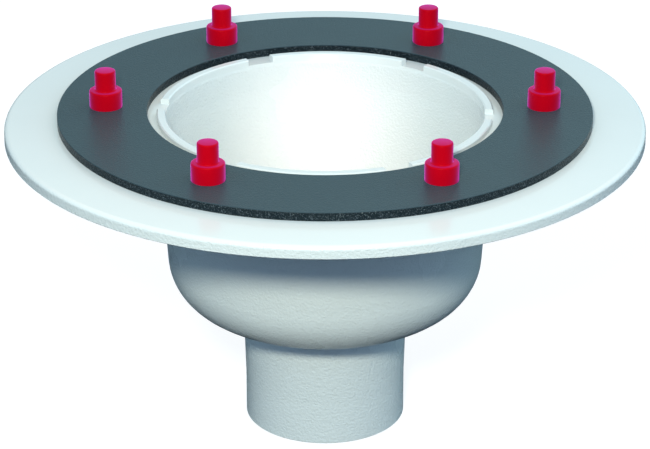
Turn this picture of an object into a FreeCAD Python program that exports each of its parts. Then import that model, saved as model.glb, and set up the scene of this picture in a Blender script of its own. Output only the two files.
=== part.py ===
import FreeCAD, Part
import math
import os

# Floor drain body with a clamping flange. Sizes are in millimetres and angles in degrees.
# The drain stands on the end of its outlet spigot, with its axis of revolution along +Z.
# Radii build outwards from the inlet, and heights build upwards from the spigot's end.

# Inlet: a straight socket for the upper part of the drain, with a low notched rim round its mouth
inlet_radius = 107.7
inlet_socket_depth = 20.0
rim_wall = 5.8
rim_height = 4.0
rim_edge_chamfer = 0.8
notch_count = 6
notch_width = 18.5
notch_turn = -5.0

# Clamping ring: lies on the flange, a little way outside the rim
ring_gap = 6.5
ring_width = 60.0
ring_thickness = 6.0
ring_edge_chamfer = 0.3
ring_hole_clearance = 1.0

# Flange: level under the ring, then falling slightly to its rounded edge
flange_border = 35.6
flange_seat_margin = 3.0
flange_edge_thickness = 8.4
flange_fall = 1.2
flange_upper_round = 3.0
flange_lower_chamfer = 0.4
flange_neck_fillet = 10.0

# Bowl: a wall that narrows downwards into a well-rounded corner, and a floor that falls to the outlet
bowl_height = 127.6
bowl_wall = 5.8
bowl_taper = 7.7
bowl_corner_round = 36.6
bowl_floor_fall = 2.0

# Outlet spigot: a straight seat for the pipe's socket, and a drafted root above it
spigot_radius = 55.2
spigot_wall = 5.0
spigot_length = 84.5
spigot_seat_length = 30.0
spigot_root_growth = 1.6
spigot_end_chamfer = 0.4
spigot_root_fillet = 8.0
outlet_mouth_round = 5.0

# Studs: six of them, just inside the middle of the ring, in blind bosses cast under the flange
stud_count = 6
stud_inset = 2.5
stud_radius = 6.0
stud_above_nut = 13.7
stud_end_chamfer = 1.0
thread_clearance = 0.1
boss_wall = 7.0
boss_taper = 1.2
boss_depth = 15.0
boss_floor = 5.0
boss_end_chamfer = 1.5

# Nuts: one on each stud, holding the ring down
nut_across_flats = 18.0
nut_height = 10.8
nut_corner_cut = 0.38
nut_chamfer_run = 1.3
nut_chamfer_rise = 0.7
nut_mouth_chamfer = 0.8

# Protective caps: a thin moulded collar over each nut and a tube over each stud's end
cap_wall = 0.78
cap_clearance = 0.22
cap_headroom = 0.5
cap_shoulder_round = 1.1
cap_top_round = 1.1

# Fixed terms of the geometry
Z_AXIS = FreeCAD.Vector(0, 0, 1)
CENTRE = FreeCAD.Vector(0, 0, 0)
FULL_TURN = 360.0
NUT_SIDES = 6
EASE = 0.98

# Radii and heights that follow from the sizes above
rim_radius = inlet_radius + rim_wall
ring_inner_radius = rim_radius + ring_gap
ring_radius = ring_inner_radius + ring_width
flange_radius = ring_radius + flange_border
flange_seat_radius = ring_radius + flange_seat_margin
bowl_top_radius = inlet_radius + bowl_wall
bowl_foot_radius = bowl_top_radius - bowl_taper
spigot_bore_radius = spigot_radius - spigot_wall
stud_circle_radius = (ring_inner_radius + ring_radius) / 2 - stud_inset
stud_hole_radius = stud_radius + thread_clearance
boss_radius = stud_radius + boss_wall
nut_corner_radius = nut_across_flats / 2 / math.cos(math.pi / NUT_SIDES) - nut_corner_cut
collar_bore_radius = nut_corner_radius + cap_clearance
tube_bore_radius = stud_radius + cap_clearance

bowl_underside = spigot_length
bowl_floor = bowl_underside + bowl_wall
flange_underside = bowl_underside + bowl_height
flange_seat = flange_underside + flange_edge_thickness + flange_fall
rim_top = flange_seat + rim_height
ring_top = flange_seat + ring_thickness
stud_foot = flange_underside - boss_depth + boss_floor
stud_top = ring_top + nut_height + stud_above_nut


def sharp(radius, height):
    """Corner of an outline that is left as it is."""
    return FreeCAD.Vector(radius, 0, height), 0.0, False


def rounded(radius, height, size):
    """Corner of an outline with a tangent arc of that radius."""
    return FreeCAD.Vector(radius, 0, height), size, True


def chamfered(radius, height, size):
    """Corner of an outline that is cut off straight, that far along both sides."""
    return FreeCAD.Vector(radius, 0, height), size, False


def tangent_arc(start, corner, end):
    """Arc that rounds a corner, from a point on one side to a point as far along the other."""
    to_chord = (start + end) / 2 - corner
    reach = (start - corner).Length
    half_chord = (end - start).Length / 2
    nearest = reach * (reach - half_chord) / to_chord.Length
    return Part.Arc(start, corner + to_chord.normalize() * nearest, end).toShape()


def outline(corners):
    """Closed wire in the XZ plane through the corners.

    Where two treated corners would not fit on the side between them, both are eased."""
    points, sizes, arcs = zip(*corners)
    count = len(points)
    to_next = [points[(i + 1) % count] - points[i] for i in range(count)]
    half_angles = [(-to_next[i - 1]).getAngle(to_next[i]) / 2 for i in range(count)]
    reaches = [sizes[i] / math.tan(half_angles[i]) if arcs[i] else sizes[i] for i in range(count)]

    def room(i):
        """Share of its two corners' reaches that side i has room for."""
        wanted = reaches[i] + reaches[(i + 1) % count]
        return min(1.0, EASE * to_next[i].Length / wanted) if wanted else 1.0

    starts = []
    ends = []
    for i, point in enumerate(points):
        reach = reaches[i] * min(room(i - 1), room(i))
        starts.append(point - FreeCAD.Vector(to_next[i - 1]).normalize() * reach)
        ends.append(point + FreeCAD.Vector(to_next[i]).normalize() * reach)

    edges = []
    for i, point in enumerate(points):
        if arcs[i]:
            edges.append(tangent_arc(starts[i], point, ends[i]))
        elif sizes[i]:
            edges.append(Part.LineSegment(starts[i], ends[i]).toShape())
        edges.append(Part.LineSegment(ends[i], starts[(i + 1) % count]).toShape())
    return Part.Wire(edges)


def turned(corners):
    """Solid of revolution about Z of the outline through the corners."""
    return Part.Face(outline(corners)).revolve(CENTRE, Z_AXIS, FULL_TURN)


def around(shape, count, turn=0.0):
    """Copies of a shape spread evenly round Z, the first one turned by the given angle."""
    copies = []
    for i in range(count):
        copy = shape.copy()
        copy.rotate(CENTRE, Z_AXIS, turn + i * FULL_TURN / count)
        copies.append(copy)
    return copies


def on_stud_circle(shape, height):
    """A shape modelled about Z, moved to the first stud at the given height."""
    shape.translate(FreeCAD.Vector(stud_circle_radius, 0, height))
    return shape


def stud_hole(radius, bottom, top):
    """Cutter for a round hole on the first stud's axis."""
    return on_stud_circle(Part.makeCylinder(radius, top - bottom), bottom)


def casting():
    """Flange, rim, bowl and spigot as one turned shell."""
    return turned([
        chamfered(spigot_bore_radius, 0, spigot_end_chamfer),
        chamfered(spigot_radius, 0, spigot_end_chamfer),
        sharp(spigot_radius, spigot_seat_length),
        rounded(spigot_radius + spigot_root_growth, bowl_underside, spigot_root_fillet),
        rounded(bowl_foot_radius, bowl_underside, bowl_corner_round),
        rounded(bowl_top_radius, flange_underside, flange_neck_fillet),
        chamfered(flange_radius, flange_underside, flange_lower_chamfer),
        rounded(flange_radius, flange_seat - flange_fall, flange_upper_round),
        sharp(flange_seat_radius, flange_seat),
        sharp(rim_radius, flange_seat),
        chamfered(rim_radius, rim_top, rim_edge_chamfer),
        chamfered(inlet_radius, rim_top, rim_edge_chamfer),
        sharp(inlet_radius, flange_seat - inlet_socket_depth),
        rounded(bowl_foot_radius - bowl_wall, bowl_floor, bowl_corner_round - bowl_wall),
        rounded(spigot_bore_radius, bowl_floor - bowl_floor_fall, outlet_mouth_round),
    ])


def stud_boss():
    """Drafted boss on the flange's underside, round the foot of the first stud."""
    boss = turned([
        sharp(0, 0),
        chamfered(boss_radius - boss_taper, 0, boss_end_chamfer),
        sharp(boss_radius, boss_depth),
        sharp(boss_radius, boss_depth + flange_edge_thickness / 2),
        sharp(0, boss_depth + flange_edge_thickness / 2),
    ])
    return on_stud_circle(boss, flange_underside - boss_depth)


def rim_notch():
    """Cutter for one notch through the rim, down to the level of the flange."""
    inner = inlet_radius - rim_wall
    outer = rim_radius + ring_gap
    corner = FreeCAD.Vector(inner, -notch_width / 2, flange_seat)
    return Part.makeBox(outer - inner, notch_width, 2 * rim_height, corner)


def drain_body():
    """The casting with its stud bosses, tapped holes and rim notches."""
    body = casting().fuse(around(stud_boss(), stud_count))
    holes = around(stud_hole(stud_hole_radius, stud_foot, rim_top), stud_count)
    notches = around(rim_notch(), notch_count, notch_turn)
    return body.cut(holes + notches).removeSplitter()


def clamping_ring():
    """Flat ring with a clearance hole for each stud."""
    ring = turned([
        chamfered(ring_inner_radius, flange_seat, ring_edge_chamfer),
        chamfered(ring_radius, flange_seat, ring_edge_chamfer),
        chamfered(ring_radius, ring_top, ring_edge_chamfer),
        chamfered(ring_inner_radius, ring_top, ring_edge_chamfer),
    ])
    hole = stud_hole(stud_radius + ring_hole_clearance, flange_seat, ring_top)
    return ring.cut(around(hole, stud_count))


def stud():
    """First stud, with chamfered ends. Its thread is left plain."""
    length = stud_top - stud_foot
    rod = turned([
        sharp(0, 0),
        chamfered(stud_radius, 0, stud_end_chamfer),
        chamfered(stud_radius, length, stud_end_chamfer),
        sharp(0, length),
    ])
    return on_stud_circle(rod, stud_foot)


def hexagon(across_flats):
    """Flat hexagon about Z, with a corner on the X axis."""
    reach = across_flats / 2 / math.cos(math.pi / NUT_SIDES)
    first = FreeCAD.Vector(reach, 0, 0)
    turns = [FreeCAD.Rotation(Z_AXIS, side * FULL_TURN / NUT_SIDES) for side in range(NUT_SIDES)]
    corners = [turn.multVec(first) for turn in turns]
    return Part.Face(Part.makePolygon(corners + corners[:1]))


def nut():
    """First nut: a hexagon with chamfered corners and a bore with chamfered mouths."""
    prism = hexagon(nut_across_flats).extrude(Z_AXIS * nut_height)
    blank = turned([
        chamfered(stud_hole_radius, 0, nut_mouth_chamfer),
        sharp(nut_corner_radius - nut_chamfer_run, 0),
        sharp(nut_corner_radius, nut_chamfer_rise),
        sharp(nut_corner_radius, nut_height - nut_chamfer_rise),
        sharp(nut_corner_radius - nut_chamfer_run, nut_height),
        chamfered(stud_hole_radius, nut_height, nut_mouth_chamfer),
    ])
    return on_stud_circle(prism.common(blank), ring_top)


def protective_cap():
    """First cap: one thin shell with a collar over the nut and a closed tube over the stud."""
    collar_radius = collar_bore_radius + cap_wall
    tube_radius = tube_bore_radius + cap_wall
    collar_ceiling = nut_height + cap_headroom
    tube_ceiling = stud_top - ring_top + cap_headroom
    cap = turned([
        sharp(collar_bore_radius, 0),
        sharp(collar_radius, 0),
        rounded(collar_radius, collar_ceiling + cap_wall, cap_shoulder_round),
        sharp(tube_radius, collar_ceiling + cap_wall),
        rounded(tube_radius, tube_ceiling + cap_wall, cap_top_round),
        sharp(0, tube_ceiling + cap_wall),
        sharp(0, tube_ceiling),
        sharp(tube_bore_radius, tube_ceiling),
        sharp(tube_bore_radius, collar_ceiling),
        sharp(collar_bore_radius, collar_ceiling),
    ])
    return on_stud_circle(cap, ring_top)


def write(node, shape):
    """Saves one sub-part."""
    shape.exportStep(os.path.join("parts", node + ".step"))


os.makedirs("parts", exist_ok=True)
write("drain_body", drain_body())
write("clamping_ring", clamping_ring())
write("studs", Part.makeCompound(around(stud(), stud_count)))
write("nuts", Part.makeCompound(around(nut(), stud_count)))
for number, cap in enumerate(around(protective_cap(), stud_count), start=1):
    write("cap_" + str(number), cap)
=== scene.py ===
import math

import bmesh
import bpy
from bpy.props import FloatProperty, FloatVectorProperty, PointerProperty
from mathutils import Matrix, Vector


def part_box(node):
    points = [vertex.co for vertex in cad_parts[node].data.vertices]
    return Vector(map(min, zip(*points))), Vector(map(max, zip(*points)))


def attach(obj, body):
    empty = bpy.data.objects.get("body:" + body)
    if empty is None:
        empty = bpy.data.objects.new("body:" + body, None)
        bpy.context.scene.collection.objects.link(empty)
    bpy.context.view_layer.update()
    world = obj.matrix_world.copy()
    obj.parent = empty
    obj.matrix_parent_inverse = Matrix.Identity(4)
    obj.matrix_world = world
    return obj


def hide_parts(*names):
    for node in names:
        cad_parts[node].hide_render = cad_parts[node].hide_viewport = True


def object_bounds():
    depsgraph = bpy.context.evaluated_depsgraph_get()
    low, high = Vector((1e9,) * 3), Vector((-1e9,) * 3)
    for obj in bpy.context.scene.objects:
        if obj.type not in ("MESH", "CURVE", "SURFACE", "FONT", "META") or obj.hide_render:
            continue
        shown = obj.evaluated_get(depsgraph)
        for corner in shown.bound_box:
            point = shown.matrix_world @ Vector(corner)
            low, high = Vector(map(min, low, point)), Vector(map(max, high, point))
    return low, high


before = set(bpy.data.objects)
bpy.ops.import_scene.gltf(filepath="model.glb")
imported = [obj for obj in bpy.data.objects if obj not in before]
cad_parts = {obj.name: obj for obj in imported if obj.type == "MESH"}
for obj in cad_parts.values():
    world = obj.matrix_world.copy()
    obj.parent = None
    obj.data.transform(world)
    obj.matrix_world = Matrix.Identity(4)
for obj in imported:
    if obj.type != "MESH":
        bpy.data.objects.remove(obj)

bl_info = {
    "name": "Floor Drain Finish",
    "version": (1, 0, 0),
    "blender": (4, 5, 0),
    "location": "View3D > Sidebar > Drain",
    "description": "Gives the floor drain its coatings, moulded stud caps, threaded studs and studio",
    "category": "Object",
}

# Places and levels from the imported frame
CAD_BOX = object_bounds()
CAP_NODES = [name for name in sorted(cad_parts) if name.startswith("cap_")]
CAP_LOW, CAP_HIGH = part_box(CAP_NODES[0])
RING_LOW, RING_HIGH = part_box("clamping_ring")
STUDS_LOW, STUDS_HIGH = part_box("studs")
STUD_CIRCLE = (CAP_LOW.x + CAP_HIGH.x) / 2
STUD_LENGTH = STUDS_HIGH.z - STUDS_LOW.z
FLANGE_TOP = RING_LOW.z
RING_TOP = RING_HIGH.z

AXIS = Vector((0, 0, 1))
FULL_TURN = 2 * math.pi

# Fineness of the meshes: merging distance, steps of a turn, segments of a rounding, least sharp angle
MERGE = 1e-6
CAP_STEPS = 96
BLANK_STEPS = 64
THREAD_STEPS = 40
ROUND_SEGMENTS = 5
SHARP_ANGLE = math.radians(35)

# Metric thread form, as shares of the pitch, and the turns that are cut away again at the ends
THREAD_DEPTH = 0.6134
THREAD_CREST = 1 / 8
THREAD_FLANK = 5 / 16
THREAD_ROOT = 1 / 4
SPARE_TURNS = 3

# Depths below the top of the flange and of the ring between which a wall's finish becomes that of the top
FLANGE_EDGE = (0.0032, 0.0014)
RING_EDGE = (0.0006, 0.0002)

# Clouds, flakes and relief of the coatings, in widths of a grain, and the share of relief that a top lacks
CASTING_CLOUDS = 40
CASTING_RELIEF = 0.38
FLANGE_SMOOTHING = 0.95
RING_CLOUDS = 30
RING_FLAKES = 0.5
RING_RELIEF = 0.6
RING_SMOOTHING = 0.62

# Noise levels between which a flake sets in
FLAKE_LEVELS = (0.56, 0.70)

# Widths of the marks in the plastic and in the plating, and the depth of their relief
PLASTIC_FLOW = 0.006
PLASTIC_GRAIN = 0.0006
PLATING_STAINS = 0.004
PLATING_MARKS = 0.0004
FINE_RELIEF = 0.0001

# Where each zone of the sky begins and is full, along a direction's X, Y or Z, or X squared for beside
SKY_ABOVE = (-0.1, 0.1)
SKY_HIGH = (0.45, 0.65)
SKY_BEHIND = (-0.2, 0.4)
SKY_RIGHT = (-0.25, 0.5)
SKY_BESIDE = (0.6, 0.9)

# What zones add to the strength of the sky or take from it
BESIDE_GAIN = 0.5
RIGHT_GAIN = 1.2
BEHIND_LOSS = 0.4

# Floor: width, glow, share of its colour that takes light; sensor of the camera in millimetres
FLOOR_WIDTH = 30.0
FLOOR_GLOW = 0.90
FLOOR_SHARE = 0.3
SENSOR_WIDTH = 36.0

# A Mix node's sockets for colours, by number, because their names repeat
MIX_FROM, MIX_TO, MIX_RESULT = 6, 7, 2


class DrainSizes(bpy.types.PropertyGroup):
    """Sizes of the pieces that are modelled here."""

    cap_tube_radius: FloatProperty(
        name="Cap tube radius", description="Outside radius of a cap's tube",
        default=0.0070, min=0.001, unit="LENGTH")
    cap_shoulder: FloatProperty(
        name="Cap shoulder", description="Height of a cap's collar above the ring",
        default=0.01208, min=0.001, unit="LENGTH")
    cap_wall: FloatProperty(
        name="Cap wall", description="Thickness of a cap's wall",
        default=0.00078, min=0.0002, unit="LENGTH")
    cap_round: FloatProperty(
        name="Cap round", description="Rounding of a cap's shoulder and top",
        default=0.0011, min=0.0, unit="LENGTH")
    cap_fillet: FloatProperty(
        name="Cap fillet", description="Fillet between a cap's shoulder and its tube",
        default=0.0009, min=0.0, unit="LENGTH")
    cap_foot_round: FloatProperty(
        name="Cap foot round", description="Rounding of a cap's lower edge",
        default=0.0003, min=0.0, unit="LENGTH")
    thread_pitch: FloatProperty(
        name="Thread pitch", description="Rise of the studs' thread in one turn",
        default=0.00175, min=0.0002, unit="LENGTH")
    thread_radius: FloatProperty(
        name="Thread radius", description="Radius of the studs over the thread",
        default=0.0060, min=0.001, unit="LENGTH")
    stud_chamfer: FloatProperty(
        name="Stud chamfer", description="Chamfer at both ends of a stud",
        default=0.0010, min=0.0, unit="LENGTH")


class DrainColours(bpy.types.PropertyGroup):
    """Colours and grain of the finishes, with a painted sheen on the clamping ring's top."""

    casting: FloatVectorProperty(
        name="Casting", description="Light grey coating of the casting",
        default=(0.70, 0.715, 0.68), subtype="COLOR", min=0.0, max=1.0)
    # Painted sheen: the ring's top is given a lighter slate than its walls, standing in for the sky's
    # grazing reflection on it.
    ring_top_painted_sheen: FloatVectorProperty(
        name="Ring top", description="Slate coating of the clamping ring's top",
        default=(0.039, 0.062, 0.072), subtype="COLOR", min=0.0, max=1.0)
    # The walls keep the ring's own dark slate; they are darker than the top because the top's colour
    # carries the painted sheen.
    ring_wall: FloatVectorProperty(
        name="Ring wall", description="Darker cut walls of the clamping ring",
        default=(0.005, 0.011, 0.014), subtype="COLOR", min=0.0, max=1.0)
    ring_flakes: FloatVectorProperty(
        name="Ring flakes", description="Sparkling grains in the clamping ring's walls",
        default=(0.12, 0.14, 0.15), subtype="COLOR", min=0.0, max=1.0)
    caps: FloatVectorProperty(
        name="Caps", description="Red of the moulded caps",
        default=(0.465, 0.0, 0.004), subtype="COLOR", min=0.0, max=1.0)
    cap_sheen: FloatVectorProperty(
        name="Cap sheen", description="Tint of the sheen at the caps' grazing edges",
        default=(1.0, 0.15, 1.0), subtype="COLOR", min=0.0, max=1.0)
    plating: FloatVectorProperty(
        name="Plating", description="Zinc plating of studs and nuts",
        default=(0.66, 0.67, 0.68), subtype="COLOR", min=0.0, max=1.0)
    casting_grain: FloatProperty(
        name="Casting grain", description="Width of one grain in the casting's coating",
        default=0.0017, min=0.0002, unit="LENGTH")
    ring_grain: FloatProperty(
        name="Ring grain", description="Width of one grain in the ring's coating",
        default=0.0015, min=0.0002, unit="LENGTH")


class DrainStage(bpy.types.PropertyGroup):
    """Camera, light and floor."""

    camera_place: FloatVectorProperty(
        name="Camera place", description="Where the camera stands",
        default=(0.0, -1.7376, 0.9056), subtype="XYZ", unit="LENGTH")
    camera_tilt: FloatProperty(
        name="Camera tilt", description="Angle between the camera's view and straight down",
        default=math.radians(66.236), subtype="ANGLE")
    camera_lens: FloatProperty(
        name="Lens", description="Focal length on a sensor 36 mm wide",
        default=153.14, min=1.0, unit="CAMERA")
    floor_colour: FloatVectorProperty(
        name="Floor", description="Colour of the floor",
        default=(0.9, 0.91, 0.92), subtype="COLOR", min=0.0, max=1.0)
    front_sky: FloatVectorProperty(
        name="Front sky", description="Cool light from above on the camera's side",
        default=(0.46, 0.71, 1.03), subtype="COLOR", min=0.0, max=2.0)
    back_sky: FloatVectorProperty(
        name="Back sky", description="Cool light near the horizon on the far side",
        default=(0.50, 0.86, 0.97), subtype="COLOR", min=0.0, max=2.0)
    high_sky: FloatVectorProperty(
        name="High sky", description="Warm light from high up on the far side",
        default=(1.00, 0.76, 0.54), subtype="COLOR", min=0.0, max=2.0)
    key_colour: FloatVectorProperty(
        name="Key colour", description="Colour of the soft lamp in front",
        default=(0.93, 1.0, 0.89), subtype="COLOR", min=0.0, max=1.0)
    key_power: FloatProperty(
        name="Key power", description="Strength of the soft lamp in front",
        default=20.6, min=0.0, unit="POWER")
    key_elevation: FloatProperty(
        name="Key elevation", description="Angle of the soft lamp above the horizon",
        default=math.radians(31), subtype="ANGLE")
    key_turn: FloatProperty(
        name="Key turn", description="Angle of the soft lamp to the left of the camera",
        default=math.radians(5), subtype="ANGLE")
    key_distance: FloatProperty(
        name="Key distance", description="Distance of the soft lamp from the middle of the drain",
        default=1.6, min=0.1, unit="LENGTH")
    key_size: FloatProperty(
        name="Key size", description="Diameter of the soft lamp",
        default=0.17, min=0.01, unit="LENGTH")
    bowl_colour: FloatVectorProperty(
        name="Bowl colour", description="Colour of the small lamp inside the bowl",
        default=(1.0, 0.82, 0.81), subtype="COLOR", min=0.0, max=1.0)
    bowl_power: FloatProperty(
        name="Bowl power", description="Strength of the small lamp inside the bowl",
        default=0.022, min=0.0, unit="POWER")
    bowl_place: FloatVectorProperty(
        name="Bowl place", description="Where the small lamp stands, behind the near side of the inlet",
        default=(0.0, -0.08, 0.165), subtype="XYZ", unit="LENGTH")
    bowl_width: FloatProperty(
        name="Bowl width", description="Width of the small lamp",
        default=0.03, min=0.001, unit="LENGTH")
    bowl_height: FloatProperty(
        name="Bowl height", description="Height of the small lamp",
        default=0.10, min=0.001, unit="LENGTH")
    bowl_spread: FloatProperty(
        name="Bowl spread", description="Angle that the small lamp's light spreads over",
        default=math.radians(56), subtype="ANGLE")


class Signal:
    """Output of a shader node that takes part in Python arithmetic."""

    def __init__(self, finish, socket):
        self.finish = finish
        self.socket = socket

    def _maths(self, operation, first, second):
        sockets = {0: first, 1: second}
        return self.finish.node("ShaderNodeMath", {"operation": operation}, sockets)["Value"]

    def __add__(self, other):
        return self._maths("ADD", self, other)

    def __radd__(self, other):
        return self._maths("ADD", other, self)

    def __sub__(self, other):
        return self._maths("SUBTRACT", self, other)

    def __rsub__(self, other):
        return self._maths("SUBTRACT", other, self)

    def __mul__(self, other):
        return self._maths("MULTIPLY", self, other)

    def __rmul__(self, other):
        return self._maths("MULTIPLY", other, self)


class Outputs:
    """Outputs of one shader node, by name or number."""

    def __init__(self, finish, node):
        self.finish = finish
        self.node = node

    def __getitem__(self, key):
        return Signal(self.finish, self.node.outputs[key])


class Finish:
    """A node tree under construction, of a material or of the world."""

    def __init__(self, owner):
        owner.use_nodes = True
        self.owner = owner
        self.tree = owner.node_tree

    def node(self, kind, settings=None, sockets=None):
        """Adds a node: its settings first, then the values or links of its sockets."""
        node = self.tree.nodes.new(kind)
        for key, value in (settings or {}).items():
            setattr(node, key, value)
        self.feed(node, sockets or {})
        return Outputs(self, node)

    def feed(self, node, sockets):
        """Sets or links the sockets of a node."""
        for key, value in sockets.items():
            if isinstance(value, Signal):
                self.tree.links.new(value.socket, node.inputs[key])
            else:
                node.inputs[key].default_value = value

    def principled(self, **sockets):
        """Feeds the shader that the material ends in."""
        names = {key.replace("_", " "): value for key, value in sockets.items()}
        self.feed(self.tree.nodes["Principled BSDF"], names)

    def noise(self, grain, detail=2.0, roughness=0.5):
        """Noise on the object's own coordinates, with grains of about that width."""
        point = self.node("ShaderNodeTexCoord")["Object"]
        sockets = {"Vector": point, "Scale": 1 / grain, "Detail": detail, "Roughness": roughness}
        return self.node("ShaderNodeTexNoise", {}, sockets)["Fac"]

    def top_face(self, level, edge):
        """1 on the top face at a level and 0 on the walls, with a soft step over the edge's depths."""
        point = self.node("ShaderNodeTexCoord")["Object"]
        height = self.node("ShaderNodeSeparateXYZ", {}, {0: point})["Z"]
        return self.ramp(height, level - edge[0], level - edge[1])

    def mix(self, factor, low, high):
        """Colour that goes from one to another with the factor."""
        sockets = {0: factor}
        for key, end in ((MIX_FROM, low), (MIX_TO, high)):
            sockets[key] = end if isinstance(end, Signal) else (*end, 1.0)
        return self.node("ShaderNodeMix", {"data_type": "RGBA"}, sockets)[MIX_RESULT]

    def drift(self, factor, colour, low, high):
        """Colour whose brightness goes from one share to another with the factor."""
        return self.mix(factor, scaled(colour, low), scaled(colour, high))

    def ramp(self, value, low, high):
        """Share of the way that a value has gone from low to high, from 0 to 1."""
        sockets = {"Value": value, "From Min": low, "From Max": high}
        return self.node("ShaderNodeMapRange", {}, sockets)["Result"]

    def bump(self, height, strength, distance):
        """Normal of a surface with that relief."""
        sockets = {"Height": height, "Strength": strength, "Distance": distance}
        return self.node("ShaderNodeBump", {}, sockets)["Normal"]


def scaled(colour, factor):
    """A colour made darker or lighter."""
    return [channel * factor for channel in colour]


def grey_coating(colours):
    """Light grey coating with faint clouds: orange peel on the cast skin, smooth on the machined top."""
    finish = Finish(bpy.data.materials.new("grey_coating"))
    peel = finish.noise(colours.casting_grain, detail=3.0, roughness=0.6)
    clouds = finish.noise(CASTING_CLOUDS * colours.casting_grain, detail=3.0)
    machined = finish.top_face(FLANGE_TOP, FLANGE_EDGE)
    relief = peel * (1.0 - FLANGE_SMOOTHING * machined)
    finish.principled(
        Base_Color=finish.drift(clouds, colours.casting, 0.97, 1.03),
        Roughness=0.24 + 0.06 * clouds - 0.12 * machined,
        Specular_IOR_Level=0.4,
        Normal=finish.bump(relief, 1.0, CASTING_RELIEF * colours.casting_grain))
    return finish.owner


def slate_coating(colours):
    """Satin slate coating of the ring with a painted sheen: its top gets a lighter slate than the walls,
    standing in for the sky's grazing reflection; the darker walls sparkle with coarse grains.
    """
    finish = Finish(bpy.data.materials.new("slate_coating"))
    grain = finish.noise(colours.ring_grain, detail=3.0, roughness=0.7)
    clouds = finish.noise(RING_CLOUDS * colours.ring_grain, detail=2.0)
    specks = finish.noise(RING_FLAKES * colours.ring_grain, detail=1.0)
    top = finish.top_face(RING_TOP, RING_EDGE)
    flakes = finish.ramp(specks, *FLAKE_LEVELS) * (1.0 - top)
    relief = grain * (1.0 - RING_SMOOTHING * top)
    # Painted sheen: the top's lighter slate stands in for the sky's grazing reflection; the walls keep the
    # dark slate and its flakes.
    slate = finish.drift(clouds, colours.ring_top_painted_sheen, 0.96, 1.04)
    wall = finish.mix(flakes, colours.ring_wall, colours.ring_flakes)
    finish.principled(
        Base_Color=finish.mix(top, wall, slate),
        Metallic=flakes,
        Roughness=0.26 + 0.06 * grain,
        Specular_IOR_Level=0.1,
        Normal=finish.bump(relief, 1.0, RING_RELIEF * colours.ring_grain))
    return finish.owner


def moulded_red(colours):
    """Red moulded plastic with a pink sheen at grazing angles and a faint mould texture."""
    finish = Finish(bpy.data.materials.new("moulded_red"))
    flow = finish.noise(PLASTIC_FLOW, detail=2.0)
    skin = finish.noise(PLASTIC_GRAIN, detail=2.0)
    finish.principled(
        Base_Color=finish.drift(flow, colours.caps, 0.94, 1.06),
        Roughness=0.34 + 0.08 * flow,
        Specular_IOR_Level=0.02,
        Sheen_Weight=0.75,
        Sheen_Roughness=0.4,
        Sheen_Tint=(*colours.cap_sheen, 1.0),
        Normal=finish.bump(skin, 0.08, FINE_RELIEF))
    return finish.owner


def zinc_plating(colours):
    """Bright zinc plating with faint stains and fine tool marks."""
    finish = Finish(bpy.data.materials.new("zinc_plating"))
    stains = finish.noise(PLATING_STAINS, detail=4.0, roughness=0.65)
    marks = finish.noise(PLATING_MARKS, detail=2.0)
    finish.principled(
        Base_Color=finish.drift(stains, colours.plating, 0.86, 1.05),
        Metallic=1.0,
        Roughness=0.24 + 0.18 * stains,
        Normal=finish.bump(marks, 0.12, FINE_RELIEF))
    return finish.owner


def paint_node(name, material):
    """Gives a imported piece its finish."""
    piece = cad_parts[name]
    for slot in piece.material_slots:
        slot.material = material


def pick(piece):
    """Makes a piece the active one and the only one selected."""
    bpy.ops.object.select_all(action="DESELECT")
    piece.select_set(True)
    bpy.context.view_layer.objects.active = piece


def trace(points):
    """New mesh of one line of edges through the points, left in edit mode with all of it selected."""
    bpy.ops.object.select_all(action="DESELECT")
    bpy.ops.mesh.primitive_plane_add(size=1.0, enter_editmode=True)
    bpy.ops.mesh.merge(type="CENTER")
    bpy.ops.transform.translate(value=points[0])
    for here, there in zip(points, points[1:]):
        bpy.ops.mesh.extrude_vertices_move(TRANSFORM_OT_translate={"value": there - here})
    bpy.ops.mesh.select_all(action="SELECT")
    return bpy.context.active_object


def pick_near(piece, spot):
    """Selects only the vertex at a spot, in edit mode."""
    bpy.ops.mesh.select_all(action="DESELECT")
    mesh = bmesh.from_edit_mesh(piece.data)
    nearest = min(mesh.verts, key=lambda vertex: (vertex.co - spot).length)
    nearest.select_set(True)
    mesh.select_flush_mode()
    bmesh.update_edit_mesh(piece.data)


def turn(name, outline, steps):
    """Turned piece about the Z axis, from (radius, height, rounding) corners that start and end on it."""
    points = [Vector((radius, 0, height)) for radius, height, _ in outline]
    piece = trace(points)
    for point, (_, _, rounding) in zip(points, outline):
        if rounding:
            pick_near(piece, point)
            bpy.ops.mesh.bevel(offset=rounding, segments=ROUND_SEGMENTS, affect="VERTICES")
    bpy.ops.mesh.select_all(action="SELECT")
    bpy.ops.mesh.spin(steps=steps, angle=FULL_TURN, center=(0, 0, 0), axis=AXIS)
    bpy.ops.mesh.select_all(action="SELECT")
    bpy.ops.mesh.remove_doubles(threshold=MERGE)
    bpy.ops.mesh.normals_make_consistent(inside=False)
    bpy.ops.object.mode_set(mode="OBJECT")
    piece.name = name
    piece.data.name = name
    return piece


def place(piece, spot, angle):
    """Moves a piece's mesh to a spot and then turns it about the drain's axis."""
    pick(piece)
    piece.location = spot
    bpy.ops.object.transform_apply(location=True, rotation=True, scale=True)
    piece.rotation_euler.z = angle
    bpy.ops.object.transform_apply(location=True, rotation=True, scale=True)


def copy_of(piece, name):
    """Copy of a piece with its own mesh."""
    copy = piece.copy()
    copy.data = piece.data.copy()
    copy.name = name
    copy.data.name = name
    bpy.context.collection.objects.link(copy)
    return copy


def apply_modifier(piece, kind, **settings):
    """Adds a modifier to a piece and applies it."""
    pick(piece)
    modifier = piece.modifiers.new(kind.title(), kind)
    for key, value in settings.items():
        setattr(modifier, key, value)
    bpy.ops.object.modifier_apply(modifier=modifier.name)


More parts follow.
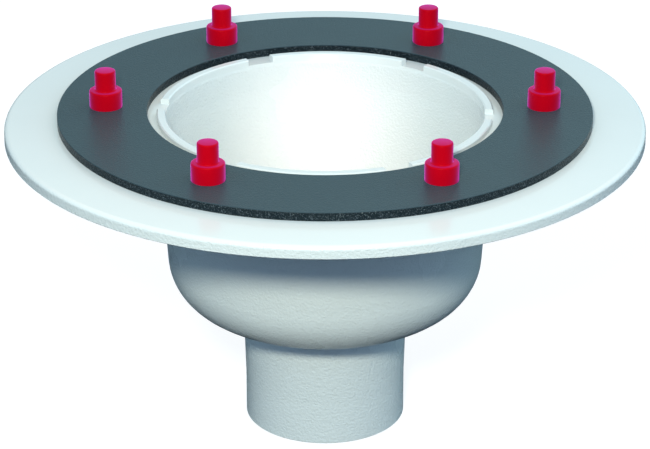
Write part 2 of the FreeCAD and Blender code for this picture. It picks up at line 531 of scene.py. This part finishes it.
def smooth(piece):
    """Shades a piece smooth, apart from its sharp edges."""
    pick(piece)
    bpy.ops.object.shade_smooth_by_angle(angle=SHARP_ANGLE)


class DRAIN_OT_coat_casting(bpy.types.Operator):
    """Coats the casting light grey"""

    bl_idname = "drain.coat_casting"
    bl_label = "Coat casting"

    def execute(self, context):
        paint_node("drain_body", grey_coating(context.scene.drain_colours))
        return {"FINISHED"}


class DRAIN_OT_coat_ring(bpy.types.Operator):
    """Coats the clamping ring dark slate, with a painted sheen on its top"""

    bl_idname = "drain.coat_ring"
    bl_label = "Coat clamping ring"

    def execute(self, context):
        paint_node("clamping_ring", slate_coating(context.scene.drain_colours))
        return {"FINISHED"}


class DRAIN_OT_thread_studs(bpy.types.Operator):
    """Models the six threaded studs and plates them and their nuts"""

    bl_idname = "drain.thread_studs"
    bl_label = "Thread studs"

    def model_thread(self, sizes):
        """Threaded rod on the Z axis, from the studs' foot to their top."""
        pitch = sizes.thread_pitch
        crest = sizes.thread_radius
        root = crest - THREAD_DEPTH * pitch
        flank = THREAD_FLANK * pitch
        start = -pitch
        rises = [0, THREAD_CREST * pitch, flank, THREAD_ROOT * pitch, flank]
        radii = [crest, crest, root, root, crest]
        heights = [start + sum(rises[:count]) for count in range(1, len(rises) + 1)]
        rod = trace([Vector((radius, 0, height)) for radius, height in zip(radii, heights)])
        bpy.ops.object.mode_set(mode="OBJECT")
        turns = math.ceil(STUD_LENGTH / pitch) + SPARE_TURNS
        apply_modifier(
            rod, "SCREW", screw_offset=pitch, iterations=turns, steps=THREAD_STEPS,
            render_steps=THREAD_STEPS, use_merge_vertices=True, use_normal_calculate=True)
        bpy.ops.object.mode_set(mode="EDIT")
        for height, outward in ((0, -AXIS), (STUD_LENGTH, AXIS)):
            bpy.ops.mesh.select_all(action="SELECT")
            bpy.ops.mesh.bisect(
                plane_co=(0, 0, height), plane_no=outward, use_fill=True, clear_outer=True)
        bpy.ops.mesh.select_all(action="SELECT")
        bpy.ops.mesh.remove_doubles(threshold=MERGE)
        bpy.ops.mesh.normals_make_consistent(inside=False)
        bpy.ops.object.mode_set(mode="OBJECT")
        return rod

    def model_blank(self, sizes):
        """Plain chamfered rod that trims the thread's ends."""
        side = sizes.thread_radius + MERGE
        end = sizes.thread_radius - sizes.stud_chamfer
        return turn("stud_blank", [
            (0, 0, 0),
            (end, 0, 0),
            (side, sizes.stud_chamfer, 0),
            (side, STUD_LENGTH - sizes.stud_chamfer, 0),
            (end, STUD_LENGTH, 0),
            (0, STUD_LENGTH, 0),
        ], steps=BLANK_STEPS)

    def execute(self, context):
        sizes = context.scene.drain_sizes
        plating = zinc_plating(context.scene.drain_colours)
        rod = self.model_thread(sizes)
        blank = self.model_blank(sizes)
        apply_modifier(rod, "BOOLEAN", operation="INTERSECT", object=blank, solver="EXACT")
        bpy.data.objects.remove(blank)
        rods = [rod] + [copy_of(rod, "stud_copy") for _ in CAP_NODES[1:]]
        for number, stud in enumerate(rods):
            place(stud, (STUD_CIRCLE, 0, STUDS_LOW.z), number * FULL_TURN / len(rods))
        bpy.ops.object.select_all(action="DESELECT")
        for stud in rods:
            stud.select_set(True)
        bpy.context.view_layer.objects.active = rod
        bpy.ops.object.join()
        rod.name = "threaded_studs"
        rod.data.name = "threaded_studs"
        rod.data.materials.append(plating)
        smooth(rod)
        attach(rod, "drain")
        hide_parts("studs")
        paint_node("nuts", plating)
        return {"FINISHED"}


class DRAIN_OT_mould_caps(bpy.types.Operator):
    """Models the six red caps as thin shells with rounded edges"""

    bl_idname = "drain.mould_caps"
    bl_label = "Mould caps"

    def model_shell(self, sizes):
        """One cap on the Z axis, from its top down the outside and up the inside."""
        collar = (CAP_HIGH.x - CAP_LOW.x) / 2
        top = CAP_HIGH.z - CAP_LOW.z
        tube, shoulder, wall = sizes.cap_tube_radius, sizes.cap_shoulder, sizes.cap_wall
        return turn("cap_shell", [
            (0, top, 0),
            (tube, top, sizes.cap_round),
            (tube, shoulder, sizes.cap_fillet),
            (collar, shoulder, sizes.cap_round),
            (collar, 0, sizes.cap_foot_round),
            (collar - wall, 0, sizes.cap_foot_round),
            (collar - wall, shoulder - wall, 0),
            (tube - wall, shoulder - wall, 0),
            (tube - wall, top - wall, 0),
            (0, top - wall, 0),
        ], steps=CAP_STEPS)

    def execute(self, context):
        first = self.model_shell(context.scene.drain_sizes)
        first.data.materials.append(moulded_red(context.scene.drain_colours))
        smooth(first)
        shells = [first] + [copy_of(first, "cap_shell") for _ in CAP_NODES[1:]]
        for number, (shell, node) in enumerate(zip(shells, CAP_NODES)):
            place(shell, (STUD_CIRCLE, 0, CAP_LOW.z), number * FULL_TURN / len(shells))
            shell.name = node.replace("cap", "moulded_cap")
            shell.data.name = shell.name
            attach(shell, node)
            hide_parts(node)
        return {"FINISHED"}


class DRAIN_OT_set_stage(bpy.types.Operator):
    """Sets up the floor, the light and the camera"""

    bl_idname = "drain.set_stage"
    bl_label = "Set stage"

    def lay_floor(self, stage):
        """Pale floor that the object neither mirrors nor takes light from."""
        bpy.ops.object.select_all(action="DESELECT")
        bpy.ops.mesh.primitive_plane_add(size=FLOOR_WIDTH)
        floor = bpy.context.active_object
        floor.name = "floor"
        finish = Finish(bpy.data.materials.new("pale_floor"))
        finish.principled(
            Base_Color=(*scaled(stage.floor_colour, FLOOR_SHARE), 1.0), Roughness=0.9,
            Emission_Color=(*stage.floor_colour, 1.0), Emission_Strength=FLOOR_GLOW)
        floor.data.materials.append(finish.owner)
        floor.visible_diffuse = False
        floor.visible_glossy = False

    def light_sky(self, stage):
        """Soft light from above, cool in front and warm high up behind; the camera sees plain white."""
        world = bpy.data.worlds.new("studio")
        bpy.context.scene.world = world
        finish = Finish(world)
        direction = finish.node("ShaderNodeTexCoord")["Generated"]
        split = finish.node("ShaderNodeSeparateXYZ", {}, {0: direction})
        above = finish.ramp(split["Z"], *SKY_ABOVE)
        high = finish.ramp(split["Z"], *SKY_HIGH)
        behind = finish.ramp(split["Y"], *SKY_BEHIND)
        right = finish.ramp(split["X"], *SKY_RIGHT)
        beside = finish.ramp(split["X"] * split["X"], *SKY_BESIDE)
        seen = finish.node("ShaderNodeLightPath")["Is Camera Ray"]
        sky = finish.mix(behind, stage.front_sky, finish.mix(high, stage.back_sky, stage.high_sky))
        strength = above * (1.0 + BESIDE_GAIN * beside + behind * (RIGHT_GAIN * right - BEHIND_LOSS))
        finish.feed(finish.tree.nodes["Background"], {
            "Color": finish.mix(seen, sky, (1.0, 1.0, 1.0)),
            "Strength": seen + (1.0 - seen) * strength})

    def add_lamp(self, name, shape, spot, aim):
        """Area lamp that points from its spot at the aim."""
        bpy.ops.object.light_add(type="AREA", location=spot)
        lamp = bpy.context.active_object
        lamp.name = name
        lamp.rotation_euler = (aim - spot).to_track_quat("-Z", "Y").to_euler()
        lamp.visible_camera = False
        lamp.data.shape = shape
        return lamp.data

    def light_front(self, stage):
        """Soft key lamp in front, left of the camera."""
        middle = (CAD_BOX[0] + CAD_BOX[1]) / 2
        level = Vector((-math.sin(stage.key_turn), -math.cos(stage.key_turn), 0))
        away = level * math.cos(stage.key_elevation) + AXIS * math.sin(stage.key_elevation)
        key = self.add_lamp("key", "DISK", middle + stage.key_distance * away, middle)
        key.energy = stage.key_power
        key.color = stage.key_colour
        key.size = stage.key_size

    def light_bowl(self, stage):
        """Small lamp inside the bowl, hidden by the inlet's near side, that lights the far wall."""
        spot = Vector(stage.bowl_place)
        bowl = self.add_lamp("bowl_lamp", "RECTANGLE", spot, spot + Vector((0, 1, 0)))
        bowl.energy = stage.bowl_power
        bowl.color = stage.bowl_colour
        bowl.size = stage.bowl_width
        bowl.size_y = stage.bowl_height
        bowl.spread = stage.bowl_spread

    def place_camera(self, stage):
        """Camera at the photograph's viewing angle."""
        tilt = (stage.camera_tilt, 0, 0)
        bpy.ops.object.camera_add(location=stage.camera_place, rotation=tilt)
        camera = bpy.context.active_object
        camera.data.sensor_width = SENSOR_WIDTH
        camera.data.lens = stage.camera_lens
        bpy.context.scene.camera = camera

    def execute(self, context):
        stage = context.scene.drain_stage
        self.lay_floor(stage)
        self.light_sky(stage)
        self.light_front(stage)
        self.light_bowl(stage)
        self.place_camera(stage)
        context.scene.view_settings.view_transform = "Standard"
        return {"FINISHED"}


class DRAIN_PT_panel(bpy.types.Panel):
    """Steps that finish the drain, and their settings"""

    bl_idname = "DRAIN_PT_panel"
    bl_label = "Floor drain"
    bl_space_type = "VIEW_3D"
    bl_region_type = "UI"
    bl_category = "Drain"

    def draw(self, context):
        for operator in STEPS:
            self.layout.operator(operator.bl_idname)
        for group in (context.scene.drain_sizes, context.scene.drain_colours, context.scene.drain_stage):
            column = self.layout.column()
            for name in group.__annotations__:
                column.prop(group, name)


STEPS = (
    DRAIN_OT_coat_casting,
    DRAIN_OT_coat_ring,
    DRAIN_OT_thread_studs,
    DRAIN_OT_mould_caps,
    DRAIN_OT_set_stage,
)
CLASSES = (DrainSizes, DrainColours, DrainStage, *STEPS, DRAIN_PT_panel)


def register():
    for cls in CLASSES:
        bpy.utils.register_class(cls)
    bpy.types.Scene.drain_sizes = PointerProperty(type=DrainSizes)
    bpy.types.Scene.drain_colours = PointerProperty(type=DrainColours)
    bpy.types.Scene.drain_stage = PointerProperty(type=DrainStage)


def unregister():
    del bpy.types.Scene.drain_stage
    del bpy.types.Scene.drain_colours
    del bpy.types.Scene.drain_sizes
    for cls in reversed(CLASSES):
        bpy.utils.unregister_class(cls)


def main():
    """Runs every step in order."""
    register()
    bpy.ops.drain.coat_casting()
    bpy.ops.drain.coat_ring()
    bpy.ops.drain.thread_studs()
    bpy.ops.drain.mould_caps()
    bpy.ops.drain.set_stage()


if __name__ == "__main__":
    main()
